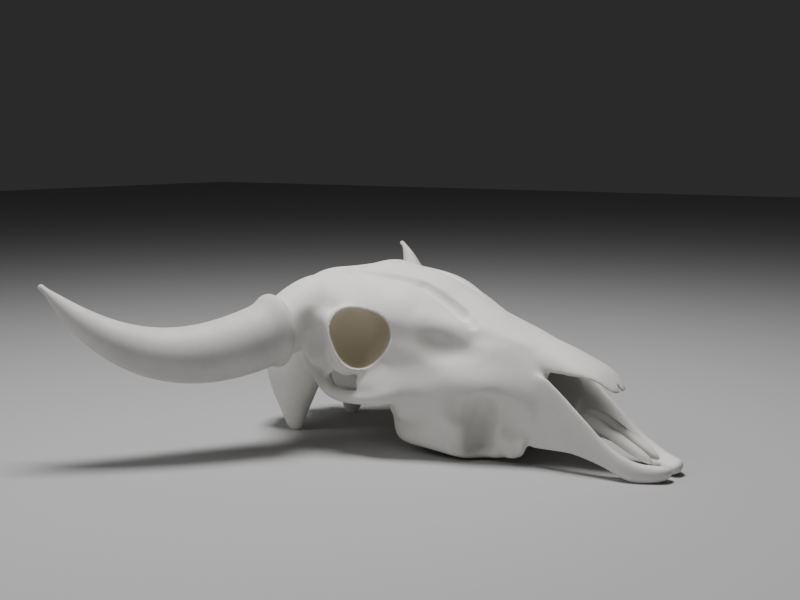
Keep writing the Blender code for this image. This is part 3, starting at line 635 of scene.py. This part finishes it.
def joinForms():
    leftShapes = [makeMuzzleBar(), makeFloorBar(), makeToothRow()]
    leftShapes += [makeSocketShape("socketRim", eyeSocketValues["rimSteps"])]
    leftShapes += makeCheek() + [makeStump()] + makeBack()
    left = joinPieces(leftShapes, "leftShapes")
    right = mirrorCopy(left, "rightShapes")
    brain = ball("brain", **backValues["brain"])
    crest = ball("neckCrest", **backValues["neckCrest"])
    return joinPieces([makeHead(), makeNoseRoof(), brain, crest, left, right], "skull")


def cutHollows(skull):
    socket = makeSocketShape("socketHollow", eyeSocketValues["hollowSteps"])
    spineHole = bar("spineHole", **backValues["spineHole"])
    opening = makeNoseOpening()
    for cutter in (mirrorCopy(socket, "socketHollowRight"), socket, makeNoseHollow(), spineHole):
        cutAway(skull, cutter)
    for cutter in (mirrorCopy(opening, "noseOpeningRight"), opening, makeNoseNotch()):
        cutAway(skull, cutter)


def cutFlats(skull):
    # where the horns and the floor meet the skull
    stumpCutter = makeStumpCutter()
    floorCutter = makeFloorCutter()
    for cutter in (mirrorCopy(stumpCutter, "stumpCutterRight"), stumpCutter, floorCutter):
        cutAway(skull, cutter)


def makeSkull():
    skull = joinForms()
    print("skull: main forms")

    fuse(skull, sculptValues["grain"], sculptValues["softening"])
    for route, radius, rounds in sculptValues["smoothing"]:
        smoothNear(skull, route, radius, rounds)
    for route, radius, rise in sculptValues["strokes"]:
        drawStroke(skull, route, radius, rise)
    print("skull: fused and sculpted,", len(skull.data.polygons), "faces")

    cutHollows(skull)
    fuse(skull, sculptValues["fineGrain"], sculptValues["fineSoftening"])
    print("skull: hollows cut,", len(skull.data.polygons), "faces")

    cutFlats(skull)
    skull.data.calc_loop_triangles()
    ratio = min(1.0, sculptValues["triangles"] / len(skull.data.loop_triangles))
    applyModifier(skull, "DECIMATE", ratio=ratio)
    print("skull: finished,", len(skull.data.polygons), "faces")
    return skull


# horns


def hornRadius(distance, length):
    values = hornValues
    taper = (1 - min(distance / length, 1.0) ** 2) ** values["taperPower"]
    fromCollar = (distance - values["collarPlace"]) / values["collarWidth"]
    collar = values["collar"] * math.exp(-(fromCollar**2))
    rounding = 1 - values["edgeRounding"] * max(0.0, 1 - distance / values["edgeReach"]) ** 2
    intoPoint = max(0.0, values["pointCut"] + (distance - length) / values["point"])
    blunt = values["point"] * math.sqrt(1 - intoPoint**2)
    return max((values["radius"] * taper + collar) * rounding, blunt)


def hornCurve():
    # places along the horn's middle, and how far along it each lies
    base, baseHandle, tipHandle, tip = (
        np.array(hornValues[key]) for key in ("base", "baseHandle", "tipHandle", "tip")
    )
    t = np.linspace(0, 1, hornValues["curveSteps"] + 1)[:, None]
    places = (1 - t) ** 3 * base + 3 * (1 - t) ** 2 * t * baseHandle
    places = places + 3 * (1 - t) * t**2 * tipHandle + t**3 * tip
    distances = np.concatenate(([0], np.cumsum(np.linalg.norm(np.diff(places, axis=0), axis=1))))
    return places, distances


def makeHorn():
    values = hornValues
    places, distances = hornCurve()
    length = distances[-1]
    stations = list(values["baseRings"])
    stations += list(np.linspace(values["middleStart"], length - values["middleEnd"], values["middleRings"]))
    stations += [length - reach for reach in values["tipRings"]]
    rings = []
    for distance in stations:
        centre, ahead, behind = (
            Vector([np.interp(distance + step, distances, places[:, axis]) for axis in range(3)])
            for step in (0, values["lookAlong"], -values["lookAlong"])
        )
        turned = max(0.0, 1 - distance / values["turn"]) ** 2
        along = values["facing"].normalized().lerp((ahead - behind).normalized(), 1 - turned).normalized()
        across = along.cross(Vector((0, 0, 1))).normalized()
        up = across.cross(along)
        radius = float(hornRadius(distance, length))
        angles = [2 * math.pi * k / values["sides"] for k in range(values["sides"])]
        rings.append([centre + radius * (math.cos(a) * across + math.sin(a) * up) for a in angles])
    horn = extrudeThrough("hornLeft", rings, levels=0)
    applyModifier(horn, "SUBSURF", levels=1, render_levels=1)
    print("horn:", len(horn.data.polygons), "faces")
    return horn


# materials

fineGrainValues = {
    "grainDetail": 4,
    "mottleDetail": 5,
    "mottleRoughness": 0.6,
}


def makeFineGrain():
    # fine grain and faint mottling, both in Object coordinates
    group = bpy.data.node_groups.new("fineGrain", "ShaderNodeTree")
    for name in ("Grain Size", "Mottle Size"):
        group.interface.new_socket(name=name, in_out="INPUT", socket_type="NodeSocketFloat")
    for name in ("Grain", "Mottle"):
        group.interface.new_socket(name=name, in_out="OUTPUT", socket_type="NodeSocketFloat")
    nodes, links = group.nodes, group.links
    inputs = nodes.new("NodeGroupInput")
    outputs = nodes.new("NodeGroupOutput")
    place = nodes.new("ShaderNodeTexCoord")
    grain = nodes.new("ShaderNodeTexNoise")
    grain.inputs["Detail"].default_value = fineGrainValues["grainDetail"]
    mottle = nodes.new("ShaderNodeTexNoise")
    mottle.inputs["Detail"].default_value = fineGrainValues["mottleDetail"]
    mottle.inputs["Roughness"].default_value = fineGrainValues["mottleRoughness"]
    links.new(place.outputs["Object"], grain.inputs["Vector"])
    links.new(place.outputs["Object"], mottle.inputs["Vector"])
    links.new(inputs.outputs["Grain Size"], grain.inputs["Scale"])
    links.new(inputs.outputs["Mottle Size"], mottle.inputs["Scale"])
    links.new(grain.outputs["Fac"], outputs.inputs["Grain"])
    links.new(mottle.outputs["Fac"], outputs.inputs["Mottle"])
    return group


fineGrain = makeFineGrain()

# painted shade inside the eye sockets: warm, and darker towards their front wall
socketPaintedShadeValues = {
    "depth": 0.022,  # of the middle of the painted shade, half-way into the socket
    # distances from there
    "fullWithin": 0.0330,
    "noneBeyond": 0.0375,
    # y where the warm painted shade of the back wall ends, and where the darker painted shade of the front
    # wall begins
    "backY": 0.052,
    "frontY": 0.030,
}


def makeSocketPaintedShade():
    # painted shade: where the eye sockets are, and how far forward in them, in Object coordinates
    values = socketPaintedShadeValues
    centre = eyeSocketValues["centre"] - values["depth"] * eyeSocketValues["facing"].normalized()
    group = bpy.data.node_groups.new("socketPaintedShade", "ShaderNodeTree")
    for name in ("Inside", "Front"):
        group.interface.new_socket(name=name, in_out="OUTPUT", socket_type="NodeSocketFloat")
    nodes, links = group.nodes, group.links
    outputs = nodes.new("NodeGroupOutput")
    place = nodes.new("ShaderNodeTexCoord")
    parts = nodes.new("ShaderNodeSeparateXYZ")
    bothSides = nodes.new("ShaderNodeMath")
    bothSides.operation = "ABSOLUTE"
    mirrored = nodes.new("ShaderNodeCombineXYZ")
    distance = nodes.new("ShaderNodeVectorMath")
    distance.operation = "DISTANCE"
    distance.inputs[1].default_value = centre - Vector((0, middleOfWhole, 0))
    inside = nodes.new("ShaderNodeMapRange")
    inside.inputs["From Min"].default_value = values["noneBeyond"]
    inside.inputs["From Max"].default_value = values["fullWithin"]
    front = nodes.new("ShaderNodeMapRange")
    front.inputs["From Min"].default_value = values["backY"]
    front.inputs["From Max"].default_value = values["frontY"]
    links.new(place.outputs["Object"], parts.inputs["Vector"])
    links.new(parts.outputs["X"], bothSides.inputs[0])
    links.new(bothSides.outputs["Value"], mirrored.inputs["X"])
    links.new(parts.outputs["Y"], mirrored.inputs["Y"])
    links.new(parts.outputs["Z"], mirrored.inputs["Z"])
    links.new(mirrored.outputs["Vector"], distance.inputs[0])
    links.new(distance.outputs["Value"], inside.inputs["Value"])
    links.new(parts.outputs["Y"], front.inputs["Value"])
    links.new(inside.outputs["Result"], outputs.inputs["Inside"])
    links.new(front.outputs["Result"], outputs.inputs["Front"])
    return group


socketPaintedShade = makeSocketPaintedShade()


castValues = {
    # the mottling's range that turns the base colour to the shade
    "mottleLow": 0.35,
    "mottleHigh": 0.70,
    # what the mottling takes from and adds to the roughness
    "smoother": 0.05,
    "rougher": 0.07,
    "bumpStrength": 0.12,
    "bumpDistance": 0.0004,
}
boneFinishValues = {
    "base": (0.83, 0.81, 0.775, 1),
    "shade": (0.76, 0.74, 0.705, 1),
    # painted shade inside the eye sockets, warm at the back wall and darker at the front wall
    "socketBackPaintedShade": (0.84, 0.77, 0.63, 1),
    "socketFrontPaintedShade": (0.62, 0.56, 0.44, 1),
    "roughness": 0.62,
    "grainSize": 900.0,
    "mottleSize": 28.0,
}
hornFinishValues = {
    # darker than the bone's colours: painted shade for the light that falls off along the horns
    "base": (0.70, 0.682, 0.655, 1),
    "shade": (0.62, 0.603, 0.577, 1),
    "roughness": 0.58,
    "grainSize": 900.0,
    "mottleSize": 28.0,
}


def startMaterial(name, values):
    # the matte cast finish that bone and horn share
    material = bpy.data.materials.new(name)
    material.use_nodes = True
    nodes, links = material.node_tree.nodes, material.node_tree.links
    shader = nodes["Principled BSDF"]
    grain = nodes.new("ShaderNodeGroup")
    grain.node_tree = fineGrain
    grain.inputs["Grain Size"].default_value = values["grainSize"]
    grain.inputs["Mottle Size"].default_value = values["mottleSize"]
    tint = nodes.new("ShaderNodeMix")
    tint.data_type = "RGBA"
    spread = nodes.new("ShaderNodeMapRange")
    spread.inputs["From Min"].default_value = castValues["mottleLow"]
    spread.inputs["From Max"].default_value = castValues["mottleHigh"]
    links.new(grain.outputs["Mottle"], spread.inputs["Value"])
    links.new(spread.outputs["Result"], tint.inputs["Factor"])
    tint.inputs["A"].default_value = values["base"]
    tint.inputs["B"].default_value = values["shade"]
    gloss = nodes.new("ShaderNodeMapRange")
    gloss.inputs["To Min"].default_value = values["roughness"] - castValues["smoother"]
    gloss.inputs["To Max"].default_value = values["roughness"] + castValues["rougher"]
    links.new(grain.outputs["Mottle"], gloss.inputs["Value"])
    links.new(gloss.outputs["Result"], shader.inputs["Roughness"])
    bump = nodes.new("ShaderNodeBump")
    bump.inputs["Strength"].default_value = castValues["bumpStrength"]
    bump.inputs["Distance"].default_value = castValues["bumpDistance"]
    links.new(grain.outputs["Grain"], bump.inputs["Height"])
    links.new(bump.outputs["Normal"], shader.inputs["Normal"])
    return material, nodes, links, shader, tint


def makeBoneMaterial():
    material, nodes, links, shader, tint = startMaterial("boneCast", boneFinishValues)
    # inside the eye sockets the colour turns to painted shade, darker towards the front wall
    sockets = nodes.new("ShaderNodeGroup")
    sockets.node_tree = socketPaintedShade
    depth = nodes.new("ShaderNodeMix")
    depth.data_type = "RGBA"
    depth.inputs["A"].default_value = boneFinishValues["socketBackPaintedShade"]
    depth.inputs["B"].default_value = boneFinishValues["socketFrontPaintedShade"]
    links.new(sockets.outputs["Front"], depth.inputs["Factor"])
    blend = nodes.new("ShaderNodeMix")
    blend.data_type = "RGBA"
    links.new(sockets.outputs["Inside"], blend.inputs["Factor"])
    links.new(tint.outputs["Result"], blend.inputs["A"])
    links.new(depth.outputs["Result"], blend.inputs["B"])
    links.new(blend.outputs["Result"], shader.inputs["Base Color"])
    return material


def makeHornMaterial():
    material, _, links, shader, tint = startMaterial("hornCast", hornFinishValues)
    links.new(tint.outputs["Result"], shader.inputs["Base Color"])
    return material


# the whole

smoothDegrees = 50  # faces that meet at less are shaded as one surface


def setInPlace(piece):
    # from the modelling place to the frame's origin
    pick(piece)
    bpy.ops.object.mode_set(mode="EDIT")
    bpy.ops.mesh.select_all(action="SELECT")
    bpy.ops.transform.translate(value=(0, -middleOfWhole, 0))
    bpy.ops.object.mode_set(mode="OBJECT")


boneNodes = [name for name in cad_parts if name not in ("horn_left", "horn_right")]
skull = makeSkull()
hornLeft = makeHorn()
hornRight = mirrorCopy(hornLeft, "hornRight")
for piece in (skull, hornLeft, hornRight):
    setInPlace(piece)
    pick(piece)
    bpy.ops.object.shade_smooth_by_angle(angle=math.radians(smoothDegrees))
    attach(piece, "root")
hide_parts(*boneNodes)
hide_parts("horn_left")
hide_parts("horn_right")

boneMaterial = makeBoneMaterial()
hornMaterial = makeHornMaterial()
for piece, material in ((skull, boneMaterial), (hornLeft, hornMaterial), (hornRight, hornMaterial)):
    piece.data.materials.clear()
    piece.data.materials.append(material)
print("materials set")

# stage, light and camera

stageValues = {
    "floorSize": 12,
    "floorColour": (0.44, 0.44, 0.44, 1),
    "floorRoughness": 0.8,
    "backColour": (0.55, 0.55, 0.56, 1),
    "backStrength": 0.055,
    # place, size, power
    "keyLight": ((-0.05, 0.1, 1.6), 0.5, 29.0),
    "fillLight": ((-1.1, 0.6, 1.0), 0.7, 4.5),
    "lightsAim": (0, 0, 0.08),
}


def makeFloor():
    deselectAll()
    bpy.ops.mesh.primitive_plane_add(size=stageValues["floorSize"], location=(0, 0, 0))
    floor = bpy.context.object
    floor.name = "studioFloor"
    material = bpy.data.materials.new("studioFloor")
    material.use_nodes = True
    shader = material.node_tree.nodes["Principled BSDF"]
    shader.inputs["Base Color"].default_value = stageValues["floorColour"]
    shader.inputs["Roughness"].default_value = stageValues["floorRoughness"]
    floor.data.materials.append(material)


def makeLight(name, place, size, power):
    deselectAll()
    bpy.ops.object.light_add(type="AREA", location=place)
    light = bpy.context.object
    light.name = name
    light.data.size = size
    light.data.energy = power
    away = Vector(place) - Vector(stageValues["lightsAim"])
    light.rotation_euler = away.to_track_quat("Z", "Y").to_euler()


cameraValues = {
    "place": (-1.121, -0.468 - middleOfWhole, 0.340),
    "azimuth": -55.0,
    "elevation": 7.64,
    "lens": 54.0,
    "sensorWidth": 36,
}


def makeCamera():
    azimuth = math.radians(cameraValues["azimuth"])
    elevation = math.radians(cameraValues["elevation"])
    level = math.cos(elevation)
    back = Vector((math.sin(azimuth) * level, -math.cos(azimuth) * level, math.sin(elevation)))
    turn = back.to_track_quat("Z", "Y").to_euler()
    deselectAll()
    bpy.ops.object.camera_add(location=cameraValues["place"], rotation=turn)
    camera = bpy.context.object
    camera.data.lens = cameraValues["lens"]
    camera.data.sensor_width = cameraValues["sensorWidth"]
    bpy.context.scene.camera = camera


def makeWorld():
    world = bpy.data.worlds.new("studio")
    bpy.context.scene.world = world
    world.use_nodes = True
    back = world.node_tree.nodes["Background"]
    back.inputs["Color"].default_value = stageValues["backColour"]
    back.inputs["Strength"].default_value = stageValues["backStrength"]


makeFloor()
makeLight("keyLight", *stageValues["keyLight"])
makeLight("fillLight", *stageValues["fillLight"])
makeCamera()
makeWorld()
print("stage set")
